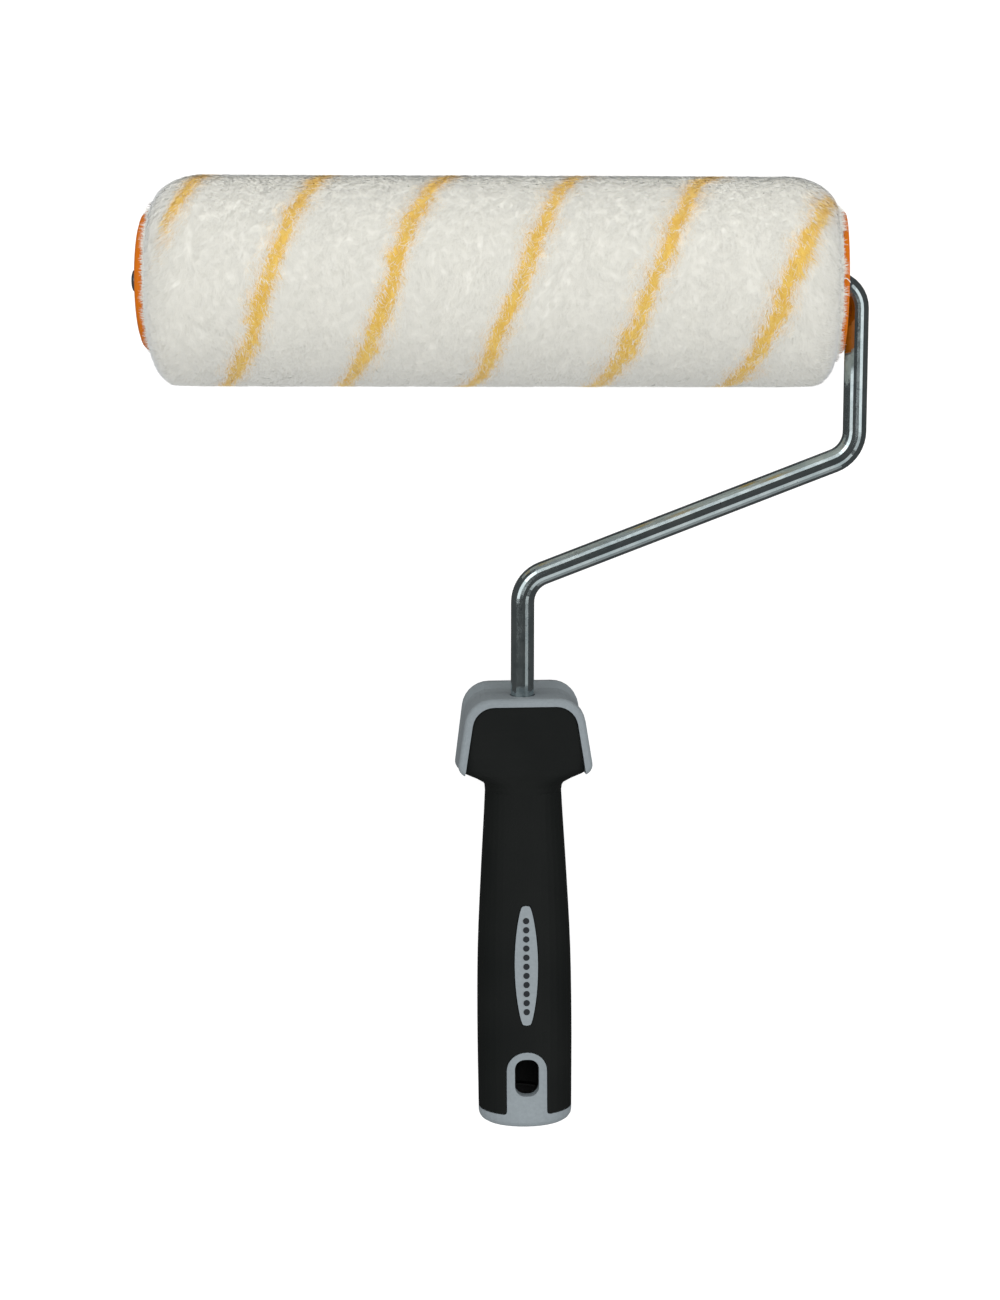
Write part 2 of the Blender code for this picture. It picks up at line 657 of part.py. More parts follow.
def make_soft_grip(parent, look):
    ring_top = -HANDLE_LENGTH + RING_HEIGHT
    sections = HEAD_SECTIONS + GRIP_SECTIONS
    stations = [s[0] for s in HEAD_SECTIONS] + spaced(NECK_Y, ring_top + GAP, 14)
    rings = [section(sections, y) for y in stations]
    piece = new_object("soft_grip", loft_mesh("soft_grip", rings), parts, parent)
    piece.data.materials.append(look)
    outline = guide("grip_outline", prism_mesh("grip_outline", soft_grip_outline(), -PAST_SIDES,
                                                PAST_SIDES), parent)
    boolean(piece, outline, "INTERSECT")
    web = [(PAST_SIDES, WEB_BOTTOM - GAP, 0), (PAST_SIDES, OVERCUT, 0)]
    depth = WEB_HALF_DEPTH + GAP
    web_mesh = prism_mesh("web_room", rounded_outline(mirrored_corners(web)), -depth, depth)
    boolean(piece, guide("web_room", web_mesh, parent), "DIFFERENCE")
    boolean(piece, grip_core("core_room", GAP, parent, False), "DIFFERENCE")
    tongue_mesh = prism_mesh("tongue_room", tongue_outline(GAP), TONGUE_ROOM_FROM, PAST_SIDES)
    boolean(piece, guide("tongue_room", tongue_mesh, parent), "DIFFERENCE")
    boolean(piece, badge_body("badge_room", GAP, BADGE_ROOM, BADGE_THICKNESS + GAP, parent), "DIFFERENCE")
    smooth(piece, 30)


def badge_body(name, grow, proud, depth, parent, look=None):
    """A curved plate that follows the grip's front, from proud above it to depth below it."""
    mesh = prism_mesh(name, badge_outline(grow), BADGE_FROM, PAST_SIDES)
    piece = new_object(name, mesh, parts, parent) if look else guide(name, mesh, parent)
    reach = BADGE_HALF_LENGTH + OVERCUT
    start, end = BADGE_CENTRE_Y + reach, BADGE_CENTRE_Y - reach
    top = guide(name + "_top", loft_mesh(name + "_top", grip_loft(proud, start, end, 8)), parent)
    under = guide(name + "_under", loft_mesh(name + "_under", grip_loft(
        -depth, start + OVERCUT, end - OVERCUT, 8)), parent)
    boolean(piece, top, "INTERSECT")
    boolean(piece, under, "DIFFERENCE")
    return piece


def make_badge_plate(parent, look):
    piece = badge_body("badge_plate", 0, BADGE_PROUD, BADGE_THICKNESS, parent, look)
    piece.data.materials.append(look)
    smooth(piece, 30)


def make_pole_socket(parent, look):
    """A sleeve for an extension pole's thread, open at the butt, with the hang hole through it."""
    outer = SOCKET_BORE_RADIUS - GAP
    inner = outer - SOCKET_WALL
    low = -HANDLE_LENGTH + SOCKET_SETBACK
    high = -HANDLE_LENGTH + SOCKET_DEPTH - SOCKET_SETBACK
    profile = [
        (inner, high), (outer, high), (outer, low),
        (inner + SOCKET_CHAMFER, low), (inner, low + SOCKET_CHAMFER),
    ]
    piece = new_object("pole_socket", turned_mesh("pole_socket", profile), parts, parent)
    piece.rotation_euler = (-math.pi / 2, 0, 0)
    add_screw(piece, TURNED_STEPS)
    piece.data.materials.append(look)
    boolean(piece, bpy.data.objects["slot"], "DIFFERENCE")
    smooth(piece, 30)


# ---------------------------------------------------------------- assembly

def stand_on_origin(tool):
    """Moves the tool so that its box is centred on the origin and rests on z = 0."""
    bpy.context.view_layer.update()
    graph = bpy.context.evaluated_depsgraph_get()
    points = []
    for piece in parts.objects:
        if piece.type == "EMPTY":
            continue
        shape = piece.evaluated_get(graph)
        mesh = shape.to_mesh()
        points += [piece.matrix_world @ vertex.co for vertex in mesh.vertices]
        shape.to_mesh_clear()
    low = [min(point[k] for point in points) for k in range(3)]
    high = [max(point[k] for point in points) for k in range(3)]
    tool.location.x -= (low[0] + high[0]) / 2
    tool.location.y -= (low[1] + high[1]) / 2
    tool.location.z -= low[2]


for old in list(bpy.data.objects):
    bpy.data.objects.remove(old)
parts = new_collection("paint_roller")
cutters = new_collection("cutters")

white_pile = material("white_pile", (0.78, 0.76, 0.70), 0.9)
tube_plastic = material("tube_plastic", (0.72, 0.72, 0.70), 0.5)
orange_plastic = material("orange_plastic", (0.72, 0.17, 0.01), 0.35)
white_acetal = material("white_acetal", (0.82, 0.82, 0.80), 0.35)
zinc_steel = material("zinc_steel", (0.62, 0.66, 0.68), 0.2, 1.0)
spring_steel = material("spring_steel", (0.30, 0.31, 0.33), 0.3, 1.0)
grey_plastic = material("grey_plastic", (0.26, 0.31, 0.32), 0.4)
black_rubber = material("black_rubber", (0.012, 0.015, 0.014), 0.55)
black_plastic = material("black_plastic", (0.008, 0.008, 0.008), 0.45)

tool_frame = empty("roller_axis", location=(0, 0, PILE_RADIUS), rotation=(SLOPE, 0, 0))
handle_frame = empty("handle_axis", tool_frame, (STEM_X, HEAD_TOP_Y, 0), (0, HANDLE_TWIST, HANDLE_LEAN))

make_pile_cover(tool_frame, white_pile)
make_core_tube(tool_frame, tube_plastic)
make_outer_end_cap(tool_frame, orange_plastic)
make_inner_end_cap(tool_frame, orange_plastic)
make_bush("outer_bearing_bush", OUTER_FLOOR, -1, tool_frame, white_acetal)
make_bush("inner_bearing_bush", INNER_FLOOR, 1, tool_frame, white_acetal)
make_frame_rod(tool_frame, zinc_steel)
make_disc("outer_thrust_washer", WASHER_RADIUS, ROD_RADIUS + GAP, washer_start(OUTER_FLOOR),
          WASHER_THICKNESS, -1, tool_frame, zinc_steel)
make_disc("inner_thrust_washer", WASHER_RADIUS, ROD_RADIUS + GAP, washer_start(INNER_FLOOR),
          WASHER_THICKNESS, 1, tool_frame, zinc_steel)
make_disc("stop_collar", COLLAR_RADIUS, ROD_RADIUS + GAP,
          washer_start(INNER_FLOOR) + WASHER_THICKNESS + GAP, COLLAR_LENGTH, 1, tool_frame, zinc_steel)
make_retaining_ring(tool_frame, spring_steel)
make_handle_core(handle_frame, grey_plastic)
make_soft_grip(handle_frame, black_rubber)
make_badge_plate(handle_frame, grey_plastic)
make_pole_socket(handle_frame, black_plastic)
stand_on_origin(tool_frame)
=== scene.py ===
"""Paint roller lying on a pale floor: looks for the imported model."""

import json
import math

import bmesh
import bpy
import numpy as np
from mathutils import Euler, Matrix, Vector


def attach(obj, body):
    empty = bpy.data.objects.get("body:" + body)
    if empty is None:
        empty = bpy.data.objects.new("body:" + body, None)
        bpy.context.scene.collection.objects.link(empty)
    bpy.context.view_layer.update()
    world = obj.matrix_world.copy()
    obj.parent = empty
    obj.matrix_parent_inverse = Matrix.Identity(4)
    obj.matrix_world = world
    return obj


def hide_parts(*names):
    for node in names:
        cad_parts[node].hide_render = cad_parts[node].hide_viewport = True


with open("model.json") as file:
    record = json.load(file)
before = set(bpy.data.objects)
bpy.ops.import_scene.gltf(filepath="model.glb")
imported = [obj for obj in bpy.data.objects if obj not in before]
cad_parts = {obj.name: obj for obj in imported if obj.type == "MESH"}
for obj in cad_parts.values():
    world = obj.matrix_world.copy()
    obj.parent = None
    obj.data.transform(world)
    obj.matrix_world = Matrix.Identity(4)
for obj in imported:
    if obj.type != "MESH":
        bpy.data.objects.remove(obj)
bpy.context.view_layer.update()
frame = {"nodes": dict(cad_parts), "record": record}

MM = 0.001
TAU = 2 * math.pi

# The tool's frame: X along the roller's axis, Y from the handle to the roller, Z away from the floor
JOINT = frame["record"]["behaviour"]["joints"][0]
AXIS = Vector(JOINT["pos_m"])
BUTT = frame["record"]["mounts"][0]
SLOPE = math.atan2(-BUTT["axis"][2], -BUTT["axis"][1])
TOOL = Matrix.Translation(AXIS) @ Matrix.Rotation(SLOPE, 4, "X")

# The handle's frame: Y from the butt to the head, Z out of its front
HANDLE_TWIST, HANDLE_YAW = math.radians(4.75), math.radians(0.54)
HANDLE_TURN = Matrix.Rotation(SLOPE, 3, "X") @ Euler((0, HANDLE_TWIST, HANDLE_YAW)).to_matrix()
BUTT_LOCAL = Vector((11.6, -152.8, 0)) * MM
HANDLE = Matrix.Translation(Vector(BUTT["pos_m"]) - HANDLE_TURN @ BUTT_LOCAL) @ HANDLE_TURN.to_4x4()

# Pile, in millimetres
PILE_HALF = 115.6
EDGE_LENGTH, EDGE_DROP = 18.0, 11.0
SQUARE_LENGTH = 9.0                 # rounding of the ends along the fuller side
RADIUS_LEFT, RADIUS_RIGHT = 35.6, 35.05
LEFT_SHORT, RIGHT_SHORT = 0.9, 1.1  # how much sooner the pile ends than its solid
TUBE_RADIUS = 24.2
BED_DEPTH = 0.60                    # how far the pile's bed lies under its outline
BED_RINGS, BED_AROUND = 290, 256
TANGENT_STEP, SLOPE_STEP = 0.4, 0.2
STRIPE_LEAD = 84.6                  # how far a stripe advances along the roller in one turn
STRIPE_STEP = 42.3                  # two stripes side by side
STRIPE_START = 9.1
STRIPE_STRETCH = 0.00031            # the fabric is wound a little wider towards the right, per mm
STRIPE_SWAY = 1.2                   # how far a stripe leaves the true helix within one turn
STRIPE_NARROWING = 0.94
STRIPE_FADE = 6                     # how much further away a stripe counts at the left end
NO_STRIPE = 20.0                    # distance given to the inside of the sleeve

# Fibres, in millimetres
FIBRES, QUICK_FIBRES, QUICK_WIDENING = 200000, 60000, 1.9
FIBRE_LENGTH, FIBRE_WIDTH = (2.0, 3.6), (0.15, 0.24)
TIP_LEVELS = (-0.24, 0.05)          # tips from the pile's outline
TIP_RISE = 0.35                     # share of a fibre's rise that its outer half keeps
TIP_TAPER = 0.85                    # width at its middle
ROOT_SHADE = 0.03                   # how much a fibre's shading follows its own lean
EDGE_LIFT = 0.4     # how far shading leans up on the sides that face +Y and -Y at rest; turns with the cover
FRINGE_FIBRES, FRINGE_RADIUS = 5200, (24.4, 26.4)
FRINGE_LENGTH, FRINGE_WIDTH = (1.5, 3.0), (0.12, 0.2)

# Small parts of the handle, in millimetres in its frame
THREAD_RADIUS, THREAD_PITCH, THREAD_TURNS, THREAD_START = 8.55, 5.0, 9, -150.8
HOLE_MIDDLE, HOLE_HALF = -134.6, 7.4    # the stretch that the hang hole leaves without a thread
BADGE_DOTS, BADGE_TOP, BADGE_SPACING = 11, -79.0, 3.2
DOT_RADIUS, DOT_HEIGHT, DOT_SIDES = 1.1 * MM, 0.08 * MM, 20
RAY_HEIGHT = 30                     # where the search for the badge's surface starts
THREAD_THICKNESS, THREAD_SIDES = 0.45, 32
STRAND_THICKNESS = 0.16

# Colours
WHITE_PILE = (0.82, 0.81, 0.75)
GOLD_PILE = (0.86, 0.60, 0.14)
FRINGE_TINT = (0.832, 0.823, 0.762)
SHEEN_TINT = (0.86, 0.91, 1.0)
BLACK = (0.008, 0.008, 0.008)

# Light of the room from its horizon, from overhead, from under the floor, in reflections and as seen
ROOM_LOW, ROOM_HIGH, ROOM_UNDER, ROOM_GLOSS, ROOM_SEEN = 0.38, 1.06, 0.52, 0.08, 1.0
FLOOR_REACH, FLOOR_GLOW = 3.0, 0.80

# Camera, from the roller's axis
CAMERA_PLACE = Vector((0.032791, -0.057082, 0.951406))
CAMERA_TURN = (-4.03427, 1.84087, 0.25489)
CAMERA_LENS, CAMERA_SENSOR = 101.06, 36


# ---------------------------------------------------------------- helpers

def lattice_noise(points, size, seed):
    """Smooth noise from -1 to 1 at points, with features of about that size."""
    table = np.random.default_rng(seed).random(4096) * 2 - 1
    at = np.asarray(points, dtype=np.float64) / size
    cell = np.floor(at).astype(np.int64)
    part = at - cell
    part = part * part * (3 - 2 * part)
    total = np.zeros(len(at))
    for corner in range(8):
        step = np.array([(corner >> k) & 1 for k in range(3)])
        here = cell + step
        key = (here[:, 0] * 73856093) ^ (here[:, 1] * 19349663) ^ (here[:, 2] * 83492791)
        weight = np.prod(np.where(step == 1, part, 1 - part), axis=1)
        total += weight * table[key & 4095]
    return total


def smoothstep(low, high, value):
    t = np.clip((value - low) / (high - low), 0, 1)
    return t * t * (3 - 2 * t)


def mesh_from_arrays(name, verts, quads, tris=None):
    """A mesh from arrays of corners, quads first."""
    mesh = bpy.data.meshes.new(name)
    tris = np.zeros((0, 3), dtype=np.int32) if tris is None else tris
    loops = np.concatenate([quads.ravel(), tris.ravel()]).astype(np.int32)
    starts = np.concatenate([np.arange(len(quads)) * 4, len(quads) * 4 + np.arange(len(tris)) * 3])
    mesh.vertices.add(len(verts))
    mesh.vertices.foreach_set("co", np.asarray(verts, dtype=np.float32).ravel())
    mesh.loops.add(len(loops))
    mesh.loops.foreach_set("vertex_index", loops)
    mesh.polygons.add(len(starts))
    mesh.polygons.foreach_set("loop_start", starts.astype(np.int32))
    mesh.update(calc_edges=True)
    mesh.validate()
    mesh.polygons.foreach_set("use_smooth", np.ones(len(mesh.polygons), dtype=bool))
    return mesh


def placed(points, matrix):
    """Points in millimetres in one of the frames above, as world points in metres."""
    turn = np.array(matrix.to_3x3())
    return points * MM @ turn.T + np.array(matrix.translation)


def above_floor(points):
    """Keeps world points just over the floor."""
    points[:, 2] = np.maximum(points[:, 2], 0.1 * MM)
    return points


def add_piece(name, mesh, look, body):
    """Adds a mesh to the scene on one of the bodies."""
    piece = bpy.data.objects.new(name, mesh)
    bpy.context.scene.collection.objects.link(piece)
    piece.data.materials.append(look)
    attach(piece, body)
    return piece


# ---------------------------------------------------------------- node helpers

class Look:
    """A Principled material and short ways to add nodes to it."""

    def __init__(self, name, **values):
        self.material = bpy.data.materials.new(name)
        self.material.use_nodes = True
        self.tree = self.material.node_tree
        self.shader = self.tree.nodes["Principled BSDF"]
        self.coords = self.tree.nodes.new("ShaderNodeTexCoord").outputs["Object"]
        for key, value in values.items():
            self.shader.inputs[key.replace("_", " ")].default_value = value

    def node(self, kind, **values):
        made = self.tree.nodes.new(kind)
        for key, value in values.items():
            setattr(made, key, value)
        return made

    def join(self, output, target):
        self.tree.links.new(output, target)

    def stretched(self, scale):
        """The object's coordinates stretched."""
        mapping = self.node("ShaderNodeMapping", vector_type="TEXTURE")
        mapping.inputs["Scale"].default_value = scale
        self.join(self.coords, mapping.inputs["Vector"])
        return mapping.outputs["Vector"]

    def noise(self, scale, detail=2.0, roughness=0.5, coords=None):
        made = self.node("ShaderNodeTexNoise")
        made.inputs["Scale"].default_value = scale
        made.inputs["Detail"].default_value = detail
        made.inputs["Roughness"].default_value = roughness
        self.join(coords or self.coords, made.inputs["Vector"])
        return made.outputs["Fac"]

    def ramp(self, value, stops):
        """A colour ramp; a stop's colour may be a single number for grey."""
        made = self.node("ShaderNodeValToRGB")
        marks = made.color_ramp.elements
        while len(marks) < len(stops):
            marks.new(0.5)
        for mark, (place, shade) in zip(marks, stops):
            mark.position = place
            mark.color = (*shade, 1) if isinstance(shade, tuple) else (shade, shade, shade, 1)
        self.join(value, made.inputs["Fac"])
        return made.outputs["Color"]

    def mix(self, amount, first, second, blend):
        made = self.node("ShaderNodeMix", data_type="RGBA", blend_type=blend)
        for socket, value in ((made.inputs[0], amount), (made.inputs[6], first), (made.inputs[7], second)):
            if isinstance(value, (int, float)):
                socket.default_value = value
            elif isinstance(value, tuple):
                socket.default_value = (*value, 1)
            else:
                self.join(value, socket)
        return made.outputs[2]

    def math(self, operation, first, second):
        made = self.node("ShaderNodeMath", operation=operation)
        for socket, value in zip(made.inputs, (first, second)):
            if isinstance(value, (int, float)):
                socket.default_value = value
            else:
                self.join(value, socket)
        return made.outputs[0]

    def bump(self, height, strength, distance, under=None):
        made = self.node("ShaderNodeBump")
        made.inputs["Strength"].default_value = strength
        made.inputs["Distance"].default_value = distance
        self.join(height, made.inputs["Height"])
        if under:
            self.join(under, made.inputs["Normal"])
        return made.outputs["Normal"]

    def finish(self, color, roughness=None, normal=None):
        """Joins the outputs to the shader and gives the material."""
        for socket, output in (("Base Color", color), ("Roughness", roughness), ("Normal", normal)):
            if output is not None:
                self.join(output, self.shader.inputs[socket])
        return self.material


# ---------------------------------------------------------------- materials

def moulded_plastic(name, color, roughness, **values):
    """Moulded plastic: fine spark-eroded grain, slow tone changes and faint handling marks."""
    look = Look(name, **values)
    cloudy = look.noise(30, 3)
    tone = look.ramp(cloudy, ((0.3, tuple(c * 0.94 for c in color)), (0.7, tuple(c * 1.05 for c in color))))
    grain = look.noise(900, 2, 0.6)
    fine = look.mix(0.10, tone, look.ramp(grain, ((0.3, 0.3), (0.7, 0.8))), "OVERLAY")
    scuffs = look.noise(120, 4, 0.6, look.stretched((1, 6, 1)))
    worn = look.ramp(scuffs, ((0.35, roughness - 0.05), (0.7, roughness + 0.08)))
    return look.finish(fine, worn, look.bump(grain, 0.12, 0.1 * MM))


def zinc(name, low=(0.45, 0.54, 0.56), high=(0.63, 0.715, 0.725)):
    """Bright zinc plate on drawn wire: drawing lines, cloudy passivation and a few dark marks."""
    look = Look(name, Metallic=1.0)
    cloud = look.noise(140, 4, 0.6)
    marks = look.noise(700, 3, 0.7)
    plate = look.ramp(cloud, ((0.3, low), (0.7, high)))
    dark = look.ramp(marks, ((0.27, 0.55), (0.37, 1.0)))
    color = look.mix(1.0, plate, dark, "MULTIPLY")
    rough = look.ramp(look.noise(300, 3, 0.6), ((0.3, 0.09), (0.7, 0.18)))
    lines = look.noise(1500, 2, 0.6)
    return look.finish(color, rough, look.bump(lines, 0.04, 0.05 * MM))


def rubber(name):
    """Soft-touch rubber: nearly black, with a very fine matte grain and faint rubbed patches."""
    look = Look(name, Specular_IOR_Level=0.16)
    tone = look.ramp(look.noise(40, 3), ((0.3, (0.0075, 0.0092, 0.0088)), (0.7, (0.0098, 0.0115, 0.0108))))
    grain = look.noise(1600, 2, 0.6)
    rough = look.ramp(look.noise(90, 4, 0.6), ((0.3, 0.50), (0.7, 0.64)))
    return look.finish(tone, rough, look.bump(grain, 0.15, 0.08 * MM))


def pile_backing(name):
    """The bed of the pile under its top fibres: the stripe, its tinted edge, and tuft shadows."""
    look = Look(name, Roughness=0.95, Specular_IOR_Level=0.05, Sheen_Weight=0.2)
    stripe = look.node("ShaderNodeAttribute", attribute_name="stripe").outputs["Fac"]
    ragged = look.math("MULTIPLY", look.math("SUBTRACT", look.noise(900, 3, 0.7), 0.5), 3.2)
    distance = look.math("DIVIDE", look.math("ADD", stripe, ragged), 10.0)
    band = look.ramp(distance, (
        (0.0, tuple(c * 0.92 for c in GOLD_PILE)), (0.12, GOLD_PILE), (0.24, (0.80, 0.62, 0.36)),
        (0.40, (0.80, 0.72, 0.58)), (0.75, WHITE_PILE)))
    tufts = look.noise(520, 4, 0.65)
    color = look.mix(0.10, band, look.ramp(tufts, ((0.3, 0.3), (0.7, 0.7))), "OVERLAY")
    fine = look.noise(2600, 2, 0.6)
    normal = look.bump(tufts, 0.15, 0.4 * MM, look.bump(fine, 0.15, 0.1 * MM))
    return look.finish(color, look.ramp(tufts, ((0.2, 0.85), (0.8, 1.0))), normal)


def fibre(name, color):
    """One tint of fibre. The pile's tone comes from the mixture of several."""
    look = Look(name, Roughness=0.8, Specular_IOR_Level=0.05, Sheen_Weight=0.9)
    look.shader.inputs["Sheen Tint"].default_value = (*SHEEN_TINT, 1)
    look.shader.inputs["Base Color"].default_value = (*color, 1)
    return look.material


# ---------------------------------------------------------------- pile

def pile_profile(along):
    """Points (x, r) of the pile's outline at 0 to 1 along it, and its direction there."""
    steps = 4000
    quarter = np.linspace(0, math.pi / 2, steps)
    x_right = PILE_HALF - EDGE_LENGTH * (1 - np.cos(quarter))
    drop_right = EDGE_DROP * (1 - np.sin(quarter))
    straight = np.linspace(-PILE_HALF + EDGE_LENGTH, PILE_HALF - EDGE_LENGTH, steps)[1:-1]
    x = np.concatenate([-x_right, straight, x_right[::-1]])
    drop = np.concatenate([drop_right, np.zeros(len(straight)), drop_right[::-1]])
    share = (x + PILE_HALF) / (2 * PILE_HALF)
    x = (x + LEFT_SHORT * (1 - smoothstep(-PILE_HALF, -PILE_HALF + EDGE_LENGTH, x))
         - RIGHT_SHORT * smoothstep(PILE_HALF - EDGE_LENGTH, PILE_HALF, x))
    r = RADIUS_LEFT + (RADIUS_RIGHT - RADIUS_LEFT) * share - drop
    length = np.concatenate([[0], np.cumsum(np.hypot(np.diff(x), np.diff(r)))])
    at = along * length[-1]
    px, pr = np.interp(at, length, x), np.interp(at, length, r)
    before, after = at - TANGENT_STEP, at + TANGENT_STEP
    dx = np.interp(after, length, x) - np.interp(before, length, x)
    dr = np.interp(after, length, r) - np.interp(before, length, r)
    size = np.hypot(dx, dr)
    return px, pr, dx / size, dr / size


def end_drop(x, length):
    """How far an end rounded over that length has dropped at x."""
    share = np.clip(1 - (PILE_HALF - np.abs(x)) / length, 0, 1)
    return EDGE_DROP * (1 - np.sqrt(1 - share ** 2))


def squarer(x, theta):
    """How much fuller the ends are along the side that lies towards the handle."""
    fuller = end_drop(x, EDGE_LENGTH) - end_drop(x, SQUARE_LENGTH)
    return fuller * smoothstep(0.2, 1.0, -np.sin(theta))


def on_roller(x, r, theta):
    """Tool-frame points, theta from the top towards +Y."""
    return np.stack([x, r * np.sin(theta), r * np.cos(theta)], axis=1)


def stripe_distance(points, theta):
    """Distance in mm from the nearest stripe's wavering middle, less where the stripe is wide."""
    waver = 1.0 * lattice_noise(points, 20, 11) + 1.1 * lattice_noise(points, 8, 12)
    along = points[:, 0] - STRIPE_STRETCH * points[:, 0] ** 2
    helix = STRIPE_START + STRIPE_LEAD * theta / TAU - STRIPE_SWAY * np.sin(theta)
    offset = along - helix + waver
    offset = (offset + STRIPE_STEP / 2) % STRIPE_STEP - STRIPE_STEP / 2
    wide = 1 + 0.35 * lattice_noise(points, 5, 13)
    faded = STRIPE_FADE * (1 - smoothstep(-PILE_HALF + 2.5, -PILE_HALF + 12, points[:, 0]))
    return np.abs(offset) * STRIPE_NARROWING / wide + faded


def make_backing():
    """The pile's bed: a closed sleeve with soft tufts, under the fibres' tips."""
    rings, around = BED_RINGS, BED_AROUND
    x, r, tx, tr = pile_profile(np.linspace(0, 1, rings))
    theta = np.arange(around) / around * TAU
    grid_x, grid_t = np.repeat(x, around), np.tile(theta, rings)
    nx, nr = np.repeat(-tr, around), np.repeat(tx, around)
    grid_r = np.repeat(r, around) + squarer(grid_x, grid_t)
    base = on_roller(grid_x, grid_r, grid_t)
    lumps = 0.10 * lattice_noise(base, 9, 21) + 0.08 * lattice_noise(base, 2.4, 22)
    sink = -BED_DEPTH + lumps
    edge = np.repeat(np.minimum(np.arange(rings), np.arange(rings)[::-1]) / 3.0, around)
    sink *= np.clip(edge, 0.3, 1)
    shell = on_roller(grid_x + nx * sink, grid_r + nr * sink, grid_t)
    inner = [on_roller(np.full(around, place), np.full(around, TUBE_RADIUS), theta)
             for place in (PILE_HALF - 0.3, 0.0, -PILE_HALF + 0.3)]
    verts = np.concatenate([shell] + inner)
    total = rings + len(inner)
    rows = np.arange(total)[:, None] * around
    here = np.arange(around)[None, :]
    after = (here + 1) % around
    below = (np.arange(total)[:, None] + 1) % total * around
    quads = np.stack([rows + here, rows + after, below + after, below + here], axis=-1).reshape(-1, 4)
    mesh = mesh_from_arrays("pile_backing", above_floor(placed(verts, TOOL)), quads[:, ::-1])
    distance = np.concatenate([stripe_distance(base, grid_t), np.full(len(inner) * around, NO_STRIPE)])
    mesh.attributes.new("stripe", "FLOAT", "POINT").data.foreach_set("value", distance.astype(np.float32))
    piece = add_piece("pile_backing", mesh, pile_backing("pile_backing"), "roller")
    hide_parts("pile_cover")


def fibre_mesh(name, root, lean, rise, normal, length, width, roll):
    """Tapered fibres that rise from root and lay over along lean, shaded like the pile's surface."""
    side = np.cross(lean, normal)
    side = side * np.cos(roll)[:, None] + normal * np.sin(roll)[:, None]
    half = length[:, None] / 2
    first = lean * np.cos(rise)[:, None] + normal * np.sin(rise)[:, None]
    second = lean * np.cos(rise * TIP_RISE)[:, None] + normal * np.sin(rise * TIP_RISE)[:, None]
    middle = root + first * half
    tip = middle + second * half
    wide = side * width[:, None] / 2
    narrow = wide * TIP_TAPER
    verts = np.stack([root - wide, root + wide, middle + narrow, middle - narrow, tip], axis=1)
    first_vert = np.arange(len(root))[:, None] * 5
    quads = first_vert + np.array([[0, 1, 2, 3]])
    tris = first_vert + np.array([[3, 2, 4]])
    mesh = mesh_from_arrays(name, above_floor(placed(verts.reshape(-1, 3), TOOL)), quads, tris)
    lifted = np.array([[0.0, 0.0, EDGE_LIFT]]) * normal[:, 1:2] ** 8
    shading = np.repeat(normal + ROOT_SHADE * first + lifted, 5, axis=0) @ np.array(TOOL.to_3x3()).T
    shading /= np.linalg.norm(shading, axis=1)[:, None]
    mesh.normals_split_custom_set_from_vertices(shading.astype(np.float32))
    return mesh


